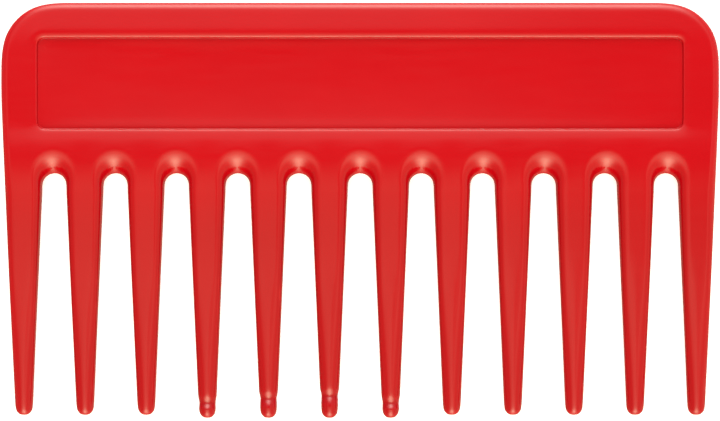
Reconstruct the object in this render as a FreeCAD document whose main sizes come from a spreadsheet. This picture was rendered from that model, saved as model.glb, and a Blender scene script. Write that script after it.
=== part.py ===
import FreeCAD, Part
import math
import os
import re

import Sketcher

# A wide-tooth mane comb: one plastic moulding, described by its back and its twelve teeth.
#
# The comb lies flat on its rear face. X runs along the back, +Y from the tooth tips to the spine and
# +Z out of the front face. The origin is under the middle of the whole comb, on the surface it lies on.
# All lengths are in millimetres and all angles in degrees.

DIMENSIONS = {
    # the whole comb
    "overall_width": 120.0,
    "overall_length": 69.5,
    "thickness": 4.5,
    "corner_radius": 9.2,
    "edge_radius": 1.3,
    # the back: its sides are upright down to side_straight and lean in from there
    "side_straight": 15.7,
    "back_depth": 31.5,
    # the recessed panel in the back's front face
    "panel_width": 108.0,
    "panel_height": 15.6,
    "panel_from_spine": 5.7,
    "panel_corner": 1.5,
    "panel_depth": 0.7,
    "panel_wall_slope": 16.0,
    # the teeth and the gaps between them
    "tooth_count": 12,
    "tooth_pitch": 10.24,
    "root_width": 6.1,
    "draft": 2.49,
    "arch_from_spine": 28.5,
    "short_by": 0.5,
    "tip_thickness": 3.0,
}

FIRST_LONG_TOOTH = 4
LAST_LONG_TOOTH = 7

SHEET = "Dimensions"
VERTICAL_AXIS = -2
ORIGIN_POINT = (-1, 1)
START, END, CENTRE = 1, 2, 3
OVERRUN = 2.0
NEAR = 1e-4


def add_sheet(doc):
    """The sheet that drives every size: names in column A, and values with aliases in column B."""
    sheet = doc.addObject("Spreadsheet::Sheet", SHEET)
    for row, (name, value) in enumerate(DIMENSIONS.items(), start=1):
        sheet.set(f"A{row}", name)
        sheet.set(f"B{row}", str(value))
        sheet.setAlias(f"B{row}", name)
    doc.recompute()
    return sheet


def driven(expression):
    """The expression with each dimension's name read from the sheet."""
    return re.sub(r"[a-z_]+", lambda m: f"<<{SHEET}>>.{m[0]}" if m[0] in DIMENSIONS else m[0], expression)


def bind(thing, **sizes):
    """Binds properties of an object to expressions of the sheet's dimensions."""
    for name, expression in sizes.items():
        thing.setExpression(name, driven(expression))


def add_body(doc, name):
    """An empty body whose label is the node's name."""
    body = doc.addObject("PartDesign::Body", name)
    body.Label = name
    return body


def add_sketch(body, name, plane):
    """A sketch on one of the body's own origin planes."""
    sketch = body.newObject("Sketcher::SketchObject", name)
    support = next(f for f in body.Origin.OriginFeatures if f.Role == plane)
    sketch.AttachmentSupport = [(support, "")]
    sketch.MapMode = "FlatFace"
    return sketch


def add_chain(sketch, curves):
    """Adds curves that follow one another round a closed loop, and joins each end to the next start.

    An arc runs tangent into its neighbours, and two straight lines just meet.
    """
    first = sketch.addGeometry(curves, False)[0]
    count = len(curves)
    for k, curve in enumerate(curves):
        after = curves[(k + 1) % count]
        round_joint = isinstance(curve, Part.ArcOfCircle) or isinstance(after, Part.ArcOfCircle)
        kind = "Tangent" if round_joint else "Coincident"
        sketch.addConstraint(Sketcher.Constraint(kind, first + k, END, first + (k + 1) % count, START))


def line(start, end):
    """A straight sketch line between two (x, y) points."""
    return Part.LineSegment(FreeCAD.Vector(*start, 0), FreeCAD.Vector(*end, 0))


def arc(centre, radius, start_deg, end_deg):
    """A sketch arc, anticlockwise from start_deg to end_deg about an (x, y) centre."""
    circle = Part.Circle(FreeCAD.Vector(*centre, 0), FreeCAD.Vector(0, 0, 1), radius)
    return Part.ArcOfCircle(circle, math.radians(start_deg), math.radians(end_deg))


def hold(sketch, kind, *places):
    """Adds a geometric constraint, such as Vertical or Symmetric."""
    sketch.addConstraint(Sketcher.Constraint(kind, *places))


def size(sketch, name, expression, kind, *places):
    """Adds a named dimension to a sketch and binds it to the sheet. An angle's expression is in degrees."""
    value = float(sketch.evalExpression(driven(expression)))
    unit = " * 1 deg" if kind == "Angle" else ""
    index = sketch.addConstraint(Sketcher.Constraint(kind, *places, math.radians(value) if unit else value))
    sketch.renameConstraint(index, name)
    sketch.setExpression(f"Constraints.{name}", f"({driven(expression)}){unit}")


def outer_rim(shape, level, seam):
    """Names of the edges round the flat face at a height, without those on the seam or round the panel."""
    level_faces = [
        face
        for face in shape.Faces
        if abs(face.BoundBox.ZMin - level) < NEAR and abs(face.BoundBox.ZMax - level) < NEAR
    ]
    largest = max(level_faces, key=lambda face: face.Area)
    rim = [edge for edge in largest.OuterWire.Edges if edge.BoundBox.YMax > seam + NEAR]
    return [f"Edge{k}" for k, edge in enumerate(shape.Edges, start=1) if any(edge.isSame(r) for r in rim)]


def long_edges(shape):
    """Names of the edges round a tooth's front and rear faces, without the seam's and the upright ones."""
    names = []
    for k, edge in enumerate(shape.Edges, start=1):
        ends = [v.Point for v in edge.Vertexes]
        at_root = all(abs(p.y) < NEAR for p in ends)
        upright = all(p.distanceToPoint(FreeCAD.Vector(ends[0].x, ends[0].y, p.z)) < NEAR for p in ends)
        if not at_root and not upright:
            names.append(f"Edge{k}")
    return names


def must_cut(before, pocket):
    """Stops the build if a pocket took nothing off the feature before it."""
    if pocket.Shape.Volume > before.Shape.Volume - NEAR:
        raise RuntimeError(f"{pocket.Label} cuts nothing")


def add_fillet(body, name, base, edges, radius):
    """Rounds the named edges of a feature with a radius bound to the sheet."""
    fillet = body.newObject("PartDesign::Fillet", name)
    fillet.Base = (base, edges)
    bind(fillet, Radius=radius)
    return fillet


def back_outline(body):
    """The back's outline: round upper corners, upright sides that then lean in, and a flat lower edge."""
    d = DIMENSIONS
    top = d["overall_length"] / 2
    root = top - d["back_depth"]
    bend = top - d["side_straight"]
    side = d["overall_width"] / 2
    foot = (d["tooth_count"] - 1) * d["tooth_pitch"] / 2 + d["root_width"] / 2
    radius = d["corner_radius"]
    sketch = add_sketch(body, "BackOutline", "XY_Plane")
    add_chain(
        sketch,
        [
            line((-foot, root), (foot, root)),
            line((foot, root), (side, bend)),
            line((side, bend), (side, top - radius)),
            arc((side - radius, top - radius), radius, 0, 90),
            line((side - radius, top), (radius - side, top)),
            arc((radius - side, top - radius), radius, 90, 180),
            line((-side, top - radius), (-side, bend)),
            line((-side, bend), (-foot, root)),
        ],
    )
    foot_line, right_lean, right_side, right_round, top_line, left_round, left_side, _ = range(8)
    for upright in (right_side, left_side):
        hold(sketch, "Vertical", upright)
    hold(sketch, "Symmetric", foot_line, START, foot_line, END, VERTICAL_AXIS)
    hold(sketch, "Symmetric", right_side, START, left_side, END, VERTICAL_AXIS)
    hold(sketch, "Horizontal", top_line)
    hold(sketch, "Equal", right_round, left_round)
    foot_width = "(tooth_count - 1) * tooth_pitch + root_width"
    size(sketch, "foot_width", foot_width, "DistanceX", foot_line, START, foot_line, END)
    size(sketch, "full_width", "overall_width", "DistanceX", left_side, END, right_side, START)
    size(sketch, "top_height", "overall_length / 2", "DistanceY", *ORIGIN_POINT, top_line, START)
    size(sketch, "depth", "back_depth", "DistanceY", foot_line, END, top_line, START)
    size(sketch, "straight", "side_straight", "DistanceY", right_lean, END, top_line, START)
    size(sketch, "corner", "corner_radius", "Radius", right_round)
    return sketch


def gap_outline(body):
    """The first gap on the left: an arch between two leaning walls, open past the back's lower edge."""
    d = DIMENSIONS
    top = d["overall_length"] / 2
    root = top - d["back_depth"]
    crown = top - d["arch_from_spine"]
    lean = math.tan(math.radians(d["draft"]))
    middle = (1 - d["tooth_count"] / 2) * d["tooth_pitch"]
    radius = (d["tooth_pitch"] - d["root_width"]) / 2
    mouth = radius + OVERRUN * lean
    sketch = add_sketch(body, "GapOutline", "XY_Plane")
    add_chain(
        sketch,
        [
            line((middle - mouth, root - OVERRUN), (middle + mouth, root - OVERRUN)),
            line((middle + mouth, root - OVERRUN), (middle + radius, crown - radius)),
            arc((middle, crown - radius), radius, 0, 180),
            line((middle - radius, crown - radius), (middle - mouth, root - OVERRUN)),
        ],
    )
    mouth_line, right_wall, arch, left_wall = range(4)
    crown_line = sketch.addGeometry(line((middle, crown - radius), (middle, crown)), True)
    hold(sketch, "Coincident", crown_line, START, arch, CENTRE)
    hold(sketch, "PointOnObject", crown_line, END, arch)
    hold(sketch, "Vertical", crown_line)
    hold(sketch, "Symmetric", mouth_line, START, mouth_line, END, crown_line)
    mouth_width = f"tooth_pitch - root_width + 2 * {OVERRUN} * tan(draft * 1 deg)"
    mouth_height = f"overall_length / 2 - back_depth - {OVERRUN}"
    crown_height = "overall_length / 2 - arch_from_spine"
    size(sketch, "lean", "90 - draft", "Angle", right_wall, START, mouth_line, END)
    size(sketch, "place", "(tooth_count / 2 - 1) * tooth_pitch", "DistanceX", arch, CENTRE, *ORIGIN_POINT)
    size(sketch, "crown_height", crown_height, "DistanceY", *ORIGIN_POINT, crown_line, END)
    size(sketch, "mouth_height", mouth_height, "DistanceY", *ORIGIN_POINT, mouth_line, START)
    size(sketch, "mouth_width", mouth_width, "DistanceX", mouth_line, START, mouth_line, END)
    return sketch


def panel_outline(body):
    """The recessed panel's outline: a rectangle with small round corners, level with the front face."""
    d = DIMENSIONS
    upper = d["overall_length"] / 2 - d["panel_from_spine"]
    lower = upper - d["panel_height"]
    side = d["panel_width"] / 2
    radius = d["panel_corner"]
    sketch = add_sketch(body, "PanelOutline", "XY_Plane")
    bind(sketch, **{".AttachmentOffset.Base.z": "thickness"})
    add_chain(
        sketch,
        [
            line((radius - side, lower), (side - radius, lower)),
            arc((side - radius, lower + radius), radius, 270, 360),
            line((side, lower + radius), (side, upper - radius)),
            arc((side - radius, upper - radius), radius, 0, 90),
            line((side - radius, upper), (radius - side, upper)),
            arc((radius - side, upper - radius), radius, 90, 180),
            line((-side, upper - radius), (-side, lower + radius)),
            arc((radius - side, lower + radius), radius, 180, 270),
        ],
    )
    lower_line, lower_round, right_line, upper_round, upper_line, far_round, left_line, near_round = range(8)
    for other in (upper_round, far_round, near_round):
        hold(sketch, "Equal", lower_round, other)
    hold(sketch, "Horizontal", upper_line)
    for upright in (right_line, left_line):
        hold(sketch, "Vertical", upright)
    hold(sketch, "Symmetric", lower_line, START, lower_line, END, VERTICAL_AXIS)
    size(sketch, "corner", "panel_corner", "Radius", lower_round)
    size(sketch, "width", "panel_width", "DistanceX", left_line, START, right_line, END)
    size(sketch, "height", "panel_height", "DistanceY", lower_line, END, upper_line, START)
    upper_height = "overall_length / 2 - panel_from_spine"
    size(sketch, "upper", upper_height, "DistanceY", *ORIGIN_POINT, upper_line, START)
    return sketch


def make_back(doc):
    """The comb's back: the plate with eleven arched gaps, the recessed panel and rounded edges."""
    body = add_body(doc, "comb_back")

    plate = body.newObject("PartDesign::Pad", "Plate")
    plate.Profile = back_outline(body)
    bind(plate, Length="thickness")

    gap = body.newObject("PartDesign::Pocket", "Gap")
    gap.Profile = gap_outline(body)
    gap.Type = "ThroughAll"
    gap.Reversed = True
    doc.recompute()
    must_cut(plate, gap)

    gaps = body.newObject("PartDesign::LinearPattern", "Gaps")
    gaps.Originals = [gap]
    gaps.Direction = (gap.Profile[0], ["H_Axis"])
    bind(gaps, Length="(tooth_count - 2) * tooth_pitch", Occurrences="tooth_count - 1")
    body.Tip = gaps
    doc.recompute()
    must_cut(gap, gaps)

    panel = body.newObject("PartDesign::Pocket", "Panel")
    panel.Profile = panel_outline(body)
    bind(panel, Length="panel_depth", TaperAngle="-panel_wall_slope * 1 deg")
    doc.recompute()
    must_cut(gaps, panel)

    seam = DIMENSIONS["overall_length"] / 2 - DIMENSIONS["back_depth"]
    rims = []
    for level in (0, DIMENSIONS["thickness"]):
        rims += outer_rim(panel.Shape, level, seam)
    add_fillet(body, "RoundedEdges", panel, rims, "edge_radius")
    return body


def tooth_length(number):
    """The expression for a tooth's length below the back: four teeth reach the comb's full length."""
    full = "overall_length - back_depth"
    return full if FIRST_LONG_TOOTH <= number <= LAST_LONG_TOOTH else f"{full} - short_by"


def tooth_outline(body, length):
    """The tooth seen from the front: a flat root on the seam, two leaning sides and a round tip."""
    d = DIMENSIONS
    half = d["root_width"] / 2
    reach = d["overall_length"] - d["back_depth"]
    lean = math.radians(d["draft"])
    radius = (half - reach * math.tan(lean)) * math.cos(lean) / (1 - math.sin(lean))
    neck = reach - radius
    sketch = add_sketch(body, f"{body.Label}_outline", "XY_Plane")
    add_chain(
        sketch,
        [
            line((half, 0), (-half, 0)),
            line((-half, 0), (-radius, -neck)),
            arc((0, -neck), radius, 180, 360),
            line((radius, -neck), (half, 0)),
        ],
    )
    root_line, left_side, tip, right_side = range(4)
    tip_line = sketch.addGeometry(line((0, -neck), (0, -reach)), True)
    hold(sketch, "Coincident", tip_line, START, tip, CENTRE)
    hold(sketch, "PointOnObject", tip_line, END, tip)
    hold(sketch, "Vertical", tip_line)
    hold(sketch, "Symmetric", root_line, START, root_line, END, *ORIGIN_POINT)
    hold(sketch, "Horizontal", root_line)
    hold(sketch, "Equal", left_side, right_side)
    size(sketch, "root", "root_width", "DistanceX", root_line, END, root_line, START)
    size(sketch, "lean", "90 - draft", "Angle", left_side, START, root_line, END)
    size(sketch, "length", length, "DistanceY", tip_line, END, *ORIGIN_POINT)
    return sketch


def tooth_slope(body, length):
    """The tooth seen from the side: the wedge taken off its front, so that it thins to its tip."""
    d = DIMENSIONS
    reach = d["overall_length"] - d["back_depth"]
    front = d["thickness"]
    tip = d["tip_thickness"]
    sketch = add_sketch(body, f"{body.Label}_slope", "YZ_Plane")
    add_chain(
        sketch,
        [
            line((0, front), (-reach, tip)),
            line((-reach, tip), (-reach, front)),
            line((-reach, front), (0, front)),
        ],
    )
    slope_line, end_line, top_line = range(3)
    hold(sketch, "Vertical", end_line)
    hold(sketch, "Horizontal", top_line)
    hold(sketch, "PointOnObject", slope_line, START, VERTICAL_AXIS)
    size(sketch, "front", "thickness", "DistanceY", *ORIGIN_POINT, slope_line, START)
    size(sketch, "drop", "thickness - tip_thickness", "DistanceY", end_line, START, end_line, END)
    size(sketch, "reach", length, "DistanceX", slope_line, END, slope_line, START)
    return sketch


def make_tooth(doc, number):
    """One tapered tooth, from the seam under the back to its round tip."""
    body = add_body(doc, f"tooth_{number:02d}")
    length = tooth_length(number)

    blade = body.newObject("PartDesign::Pad", f"{body.Label}_blade")
    blade.Profile = tooth_outline(body, length)
    bind(blade, Length="thickness")
    doc.recompute()

    wedge = body.newObject("PartDesign::Pocket", f"{body.Label}_wedge")
    wedge.Profile = tooth_slope(body, length)
    wedge.Type = "ThroughAll"
    wedge.SideType = "Symmetric"
    doc.recompute()
    must_cut(blade, wedge)

    add_fillet(body, f"{body.Label}_edges", wedge, long_edges(wedge.Shape), "edge_radius")
    bind(
        body,
        **{
            ".Placement.Base.x": f"({number} - (tooth_count + 1) / 2) * tooth_pitch",
            ".Placement.Base.y": "overall_length / 2 - back_depth",
        },
    )
    return body


def check(doc, bodies):
    """Stops the build if anything in the document failed or a sub-part isn't one valid solid."""
    for thing in doc.Objects:
        if "Invalid" in thing.State or "Error" in thing.State:
            raise RuntimeError(f"{thing.Label} failed: {thing.State}")
    for body in bodies:
        shape = body.Shape
        if shape.isNull() or not shape.isValid() or len(shape.Solids) != 1:
            raise RuntimeError(f"{body.Label} is not one valid solid")


def main():
    """Builds the comb and writes each sub-part to parts/."""
    doc = FreeCAD.newDocument("mane_comb")
    add_sheet(doc)
    bodies = [make_back(doc)]
    for number in range(1, DIMENSIONS["tooth_count"] + 1):
        bodies.append(make_tooth(doc, number))
    doc.recompute()
    check(doc, bodies)
    os.makedirs("parts", exist_ok=True)
    for body in bodies:
        body.Shape.exportStep(f"parts/{body.Label}.step")
        print(f"{body.Label}: {body.Shape.Volume:.1f} mm3")


main()
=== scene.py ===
"""Looks of a wide-tooth mane comb: one glossy red plastic moulding that lies flat on its rear face.

The moulding is drawn as its back and its twelve teeth, which meet on the plane under the gap roots.
Lengths are in metres in the CAD frame: X along the back, +Y from the tooth tips to the spine, and +Z out
of the front face.
"""

import logging
import math
from dataclasses import dataclass
from enum import Enum
from typing import Sequence

import bmesh
import bpy
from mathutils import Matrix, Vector


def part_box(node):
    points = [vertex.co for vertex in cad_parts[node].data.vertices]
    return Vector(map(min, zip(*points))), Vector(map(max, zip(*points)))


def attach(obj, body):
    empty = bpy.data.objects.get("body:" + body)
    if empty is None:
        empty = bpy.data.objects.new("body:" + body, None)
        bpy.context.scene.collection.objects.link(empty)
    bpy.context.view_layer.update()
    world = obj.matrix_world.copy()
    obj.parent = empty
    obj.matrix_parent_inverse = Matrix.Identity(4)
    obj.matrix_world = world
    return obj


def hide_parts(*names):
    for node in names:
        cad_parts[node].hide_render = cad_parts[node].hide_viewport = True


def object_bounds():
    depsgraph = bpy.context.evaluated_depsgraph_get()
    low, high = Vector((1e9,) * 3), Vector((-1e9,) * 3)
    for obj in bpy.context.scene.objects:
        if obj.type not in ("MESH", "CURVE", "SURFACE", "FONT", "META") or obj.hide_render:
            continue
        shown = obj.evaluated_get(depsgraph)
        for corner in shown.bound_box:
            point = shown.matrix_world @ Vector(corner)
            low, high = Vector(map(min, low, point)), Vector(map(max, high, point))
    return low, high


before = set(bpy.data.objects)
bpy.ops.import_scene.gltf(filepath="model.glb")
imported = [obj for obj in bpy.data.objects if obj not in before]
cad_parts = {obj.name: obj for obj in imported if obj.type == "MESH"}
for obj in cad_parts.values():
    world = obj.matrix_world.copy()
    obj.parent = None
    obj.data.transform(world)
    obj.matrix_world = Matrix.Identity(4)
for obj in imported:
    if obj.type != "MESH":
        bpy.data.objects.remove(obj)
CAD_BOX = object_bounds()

LOG = logging.getLogger("mane_comb")

MM = 0.001

MERGE = 0.002 * MM
"""How close two cage points lie that are one."""

SUBDIVISIONS = 2

QUARTER_STEP = math.radians(22.5)
"""The turn between the cage points of a round stretch: a quarter turn has four."""

ROUND_GAIN = 1 / (1 - (1 - math.cos(QUARTER_STEP)) / 3)
"""How much further out a round stretch's cage stands, so that the smoothed surface has its true radius."""

END_STEP = math.radians(30)
"""The turn between the loops of a tooth's round end."""

END_GAIN = 1 / (1 - (1 - math.cos(END_STEP)) / 3)
"""The same gain for those loops."""

TURN_HOLDS = (0.56, 1.1)
"""Where the two cage points on the face that shape an edge's turn stand, as shares of its reach."""

Point = tuple[float, float]


class Face(Enum):
    """The two broad faces of the moulding."""

    FRONT = "front"
    REAR = "rear"


class Tip(Enum):
    """How a tooth ends."""

    PLAIN = "plain"
    BEADED = "beaded"


@dataclass(frozen=True)
class Roll:
    """How an edge of the moulding turns from its wall onto a face.

    Attributes:
        reach: How far the turn runs in over the face.
        drop: How far it runs down the wall.
    """

    reach: float
    drop: float

    def mixed(self, other: "Roll", share: float) -> "Roll":
        """The roll that is share of the way from this one to another."""
        return Roll(
            self.reach + (other.reach - self.reach) * share,
            self.drop + (other.drop - self.drop) * share,
        )


def edge_profile(face: Face, thickness: float, front: Roll, rear: Roll) -> list[Point]:
    """Finds the cage points of half an edge of the moulding, from the middle of its wall onto one face.

    Args:
        face: The face.
        thickness: The moulding's thickness.
        front: The turn onto the front face.
        rear: The turn onto the rear face.

    Returns:
        Four pairs of distance in from the wall and height.
    """
    top = thickness - 0.5 * front.drop
    foot = 0.5 * rear.drop
    if face is Face.FRONT:
        turn = [(0.0, top)] + [(hold * front.reach, thickness) for hold in TURN_HOLDS]
    else:
        turn = [(0.0, foot)] + [(hold * rear.reach, 0.0) for hold in TURN_HOLDS]
    return [(0.0, (top + foot) / 2), *turn]


REAR_ROLL = Roll(1.3 * MM, 1.3 * MM)
RIM_ROLL = Roll(1.3 * MM, 1.3 * MM)
TOOTH_ROLL = Roll(1.6 * MM, 1.9 * MM)
CROWN_ROLL = Roll(4.2 * MM, 5.0 * MM)

EdgePlace = tuple[Point, Point, Roll]
"""A place on an edge's wall, the direction in over the face there, and the turn onto the front face."""

FACE_SAG: tuple[Point, ...] = (
    (0.0, 0.08 * MM),
    (5.4 * MM, 0.0),
    (21.0 * MM, 0.14 * MM),
    (22.1 * MM, 0.09 * MM),
    (23.0 * MM, 0.045 * MM),
    (24.3 * MM, 0.012 * MM),
    (26.0 * MM, 0.0),
    (27.2 * MM, 0.015 * MM),
    (29.0 * MM, 0.07 * MM),
    (31.5 * MM, 0.17 * MM),
)
"""How far the front face lies under its highest level, at depths below the spine: it is faintly crowned."""

SAG_SHARES = (0.0, 0.5, 1.0, 1.0)
"""How much of the sag each of an edge's four points takes, from the middle of the wall onto the face."""


def sag_at(depth: float) -> float:
    """Finds how far the front face sags at a depth below the spine.

    Args:
        depth: The depth.

    Returns:
        The sag there.
    """
    for (start, first), (end, second) in zip(FACE_SAG, FACE_SAG[1:]):
        if depth <= end:
            return first + (second - first) * (depth - start) / (end - start)
    return FACE_SAG[-1][1]


class Member:
    """A piece of the moulding, which stands for one node of the frame."""

    node: str

    def dress(self, thing: bpy.types.Object, material: bpy.types.Material, slot: str) -> None:
        """Gives the piece its plastic and puts it in its node's place.

        Args:
            thing: The piece's object.
            material: The plastic.
            slot: The part's material slot that the plastic stands for. It is not used.
        """
        thing.data.materials.append(material)
        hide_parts(self.node)
        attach(thing, "root")
        LOG.info("%s stands for %s", thing.name, self.node)


class Cage:
    """A coarse closed mesh of quads, put together from patches whose borders share their places."""

    def __init__(self) -> None:
        """Starts an empty cage."""
        self.mesh = bmesh.new()

    def strip(self, first: Sequence[Vector], second: Sequence[Vector], closed: bool = False) -> None:
        """Joins two rows of as many points with quads.

        Args:
            first: One row.
            second: The row beside it.
            closed: Whether the rows are loops.
        """
        near = [self.mesh.verts.new(p) for p in first]
        far = [self.mesh.verts.new(p) for p in second]
        count = len(near)
        for k in range(count if closed else count - 1):
            after = (k + 1) % count
            self.mesh.faces.new((near[k], near[after], far[after], far[k]))

    def patch(self, rows: Sequence[Sequence[Vector]], closed: bool = False) -> None:
        """Joins each row of points to the next one."""
        for first, second in zip(rows, rows[1:]):
            self.strip(first, second, closed)

    def finish(self, name: str, seam: float) -> bpy.types.Object:
        """Merges the borders, creases the seam and makes the smoothed object.

        Args:
            name: The piece's name.
            seam: The height along Y of the plane where the back meets the teeth.

        Returns:
            The object, linked to the scene, with its smoothing left live.
        """
        bmesh.ops.remove_doubles(self.mesh, verts=self.mesh.verts, dist=MERGE)
        bmesh.ops.recalc_face_normals(self.mesh, faces=self.mesh.faces)
        crease = self.mesh.edges.layers.float.new("crease_edge")
        for edge in self.mesh.edges:
            on_seam = all(abs(vert.co.y - seam) < MERGE for vert in edge.verts)
            if on_seam and edge.calc_face_angle() > math.radians(45):
                edge[crease] = 1.0
                edge.smooth = False
        for facet in self.mesh.faces:
            facet.smooth = True
        data = bpy.data.meshes.new(name)
        self.mesh.to_mesh(data)
        self.mesh.free()
        thing = bpy.data.objects.new(name, data)
        bpy.context.scene.collection.objects.link(thing)
        smoothing = thing.modifiers.new("smoothing", "SUBSURF")
        smoothing.levels = SUBDIVISIONS
        smoothing.render_levels = SUBDIVISIONS
        smoothing.uv_smooth = "NONE"
        smoothing.boundary_smooth = "ALL"
        return thing


def root_section(
    centre: float, half: float, along: float, thickness: float, roll: Roll, rear: Roll, sag: float = 0.0
) -> list[Vector]:
    """Finds the sixteen cage points round a tooth at one place along it.

    Args:
        centre: The tooth's centre line along X.
        half: Half the tooth's width there.
        along: The place along Y.
        thickness: The tooth's thickness there.
        roll: The turn onto the front face.
        rear: The turn onto the rear face.
        sag: How far the front face lies under its full level.

    Returns:
        The points, from the middle of the left wall over the front face and back under the rear face.
    """
    turn = edge_profile(Face.FRONT, thickness, roll, rear)
    front = [(u, z - sag * share) for (u, z), share in zip(turn, SAG_SHARES)]
    back = edge_profile(Face.REAR, thickness, roll, rear)
    left_front = [Vector((centre - half + u, along, z)) for u, z in front]
    right_front = [Vector((centre + half - u, along, z)) for u, z in reversed(front)]
    right_rear = [Vector((centre + half - u, along, z)) for u, z in back[1:]]
    left_rear = [Vector((centre - half + u, along, z)) for u, z in reversed(back[1:])]
    front_middle = Vector((centre, along, thickness - sag))
    rear_middle = Vector((centre, along, 0.0))
    return left_front + [front_middle] + right_front + right_rear + [rear_middle] + left_rear


def cap_rows(loop: Sequence[Vector]) -> list[list[Vector]]:
    """Fills a loop of sixteen points with a flat grid, so that it has no pole.

    Args:
        loop: The points as root_section() gives them.

    Returns:
        Five rows of five points, whose outer ones are the loop's own.
    """
    size = 4
    front = [loop[2 + k] for k in range(size + 1)]
    rear = [loop[14 - k] for k in range(size + 1)]
    left = [loop[(2 - k) % 16] for k in range(size + 1)]
    right = [loop[6 + k] for k in range(size + 1)]
    rows = []
    for j in range(size + 1):
        down = j / size
        row = []
        for i in range(size + 1):
            across = i / size
            between_sides = left[j].lerp(right[j], across)
            between_faces = front[i].lerp(rear[i], down)
            corners = front[0].lerp(front[size], across).lerp(rear[0].lerp(rear[size], across), down)
            row.append(between_sides + between_faces - corners)
        rows.append(row)
    return rows


@dataclass
class CombBack(Member):
    """The comb's back: the grip with its recessed panel, and the roots of the teeth between arched gaps.

    A place on it is given as (x, d): along X, and the depth below the spine.

    Attributes:
        node: The node that it stands for.
        corner_radius: The radius of the spine's two corners.
        side_straight: How deep the sides run upright before they lean in.
        tooth_pitch: The distance between two teeth.
        tooth_count: The number of teeth.
        root_half: Half a tooth's width where it meets the back.
        arch_depth: The depth of the gaps' round tops.
        panel_half: Half the panel's width.
        panel_top: The depth of its upper side.
        panel_bottom: The depth of its lower side.
        panel_round: The radius of its corners.
        panel_round_least: The least radius of a loop in those corners.
        panel_sunk: How deep it is sunk.
        panel_dish: How much deeper its floor is in the middle.
        panel_lip: The loops from the face over the soft lip to the floor: how far out and how deep each is.
        panel_row: The depth of a row of the cage across the panel.
        floor_inset: How far in from the panel's sides its floor's grid starts.
        floor_legs: The grid's first steps, along the back and down.
        frame_left: Where the loop round the panel has its left side.
        frame_top: The depth of that loop's upper side.
        frame_bottom: The depth of its lower side.
        frame_leg: The steps down its square corners.
        side_rows: The depths of the two rows of the side beside those corners.
        crown_row: The depth of the row above the gaps' round tops.
    """

    node: str = "comb_back"
    corner_radius: float = 9.2 * MM
    side_straight: float = 15.7 * MM
    tooth_pitch: float = 10.24 * MM
    tooth_count: int = 12
    root_half: float = 3.05 * MM
    arch_depth: float = 28.5 * MM
    panel_half: float = 54.0 * MM
    panel_top: float = 5.7 * MM
    panel_bottom: float = 21.3 * MM
    panel_round: float = 1.5 * MM
    panel_round_least: float = 0.6 * MM
    panel_sunk: float = 0.7 * MM
    panel_dish: float = 0.1 * MM
    panel_lip: tuple[Point, ...] = (
        (1.2 * MM, 0.0),
        (0.5 * MM, 0.022 * MM),
        (0.1 * MM, 0.06 * MM),
        (-0.07 * MM, 0.12 * MM),
        (-0.13 * MM, 0.34 * MM),
        (-0.22 * MM, 0.66 * MM),
        (-0.24 * MM, 0.7 * MM),
        (-0.29 * MM, 0.7 * MM),
        (-0.7 * MM, 0.7 * MM),
    )
    panel_row: float = 12.4 * MM
    floor_inset: float = 1.7 * MM
    floor_legs: tuple[float, float] = (1.0 * MM, 0.8 * MM)
    frame_left: float = -56.32 * MM
    frame_top: float = 3.6 * MM
    frame_bottom: float = 23.0 * MM
    frame_leg: float = 1.7 * MM
    side_rows: tuple[float, float] = (21.0 * MM, 18.4 * MM)
    crown_row: float = 27.0 * MM

    def __post_init__(self) -> None:
        """Reads the back's place from the frame and works out the lines that its loops share."""
        low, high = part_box(self.node)
        self.side = high.x
        self.spine = high.y
        self.thickness = high.z
        self.seam_depth = high.y - low.y
        self.arch_radius = self.tooth_pitch / 2 - self.root_half
        self.arch_centre = self.arch_depth + self.arch_radius
        self.columns = [self.frame_left + self.tooth_pitch / 4 * k for k in range(4 * self.tooth_count - 3)]
        self.rows = [self.panel_row, self.side_straight]
        self.tail_rows = [self.seam_depth, self.arch_centre, self.crown_row]

    def face_height(self, face: Face, depth: float) -> float:
        """The height of a face at a depth below the spine."""
        return self.thickness - sag_at(depth) if face is Face.FRONT else 0.0

    def sag(self, face: Face, depth: float, step: int) -> float:
        """How far a point of an edge's turn sags: fully on the front face, and not at all on the wall."""
        return sag_at(depth) * SAG_SHARES[step] if face is Face.FRONT else 0.0

    def place(self, point: Point, height: float) -> Vector:
        """The point of the frame at a place on the back and a height above the floor."""
        return Vector((point[0], self.spine - point[1], height))

    def side_at(self, depth: float) -> float:
        """Finds how far out the back's side is: it is upright first, then leans in to the outer tooth.

        Args:
            depth: The depth below the spine.

        Returns:
            The distance from the middle.
        """
        foot = -self.frame_left + self.root_half
        lean = max(0.0, depth - self.side_straight) / (self.seam_depth - self.side_straight)
        return self.side + (foot - self.side) * lean

    def corner(self, left: float, edge: float, inward: float, radius: float, legs: Point) -> list[Point]:
        """Finds five places round a left-hand corner of a loop, from its level side to its upright side.

        Args:
            left: The loop's upright side.
            edge: The depth of the loop's level side.
            inward: 1 if the loop lies below that side, -1 if above.
            radius: The corner's radius, or 0 for a square one.
            legs: For a square corner, the steps along its level and its upright side.

        Returns:
            The places.
        """
        if not radius:
            return [
                (left + 2 * legs[0], edge),
                (left + legs[0], edge),
                (left, edge),
                (left, edge + inward * legs[1]),
                (left, edge + inward * 2 * legs[1]),
            ]
        points = []
        for k in range(5):
            turn = k * QUARTER_STEP
            stand = radius * (ROUND_GAIN if 0 < k < 4 else 1.0)
            x = left + radius - stand * math.sin(turn)
            d = edge + inward * (radius - stand * math.cos(turn))
            points.append((x, d))
        return points

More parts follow.
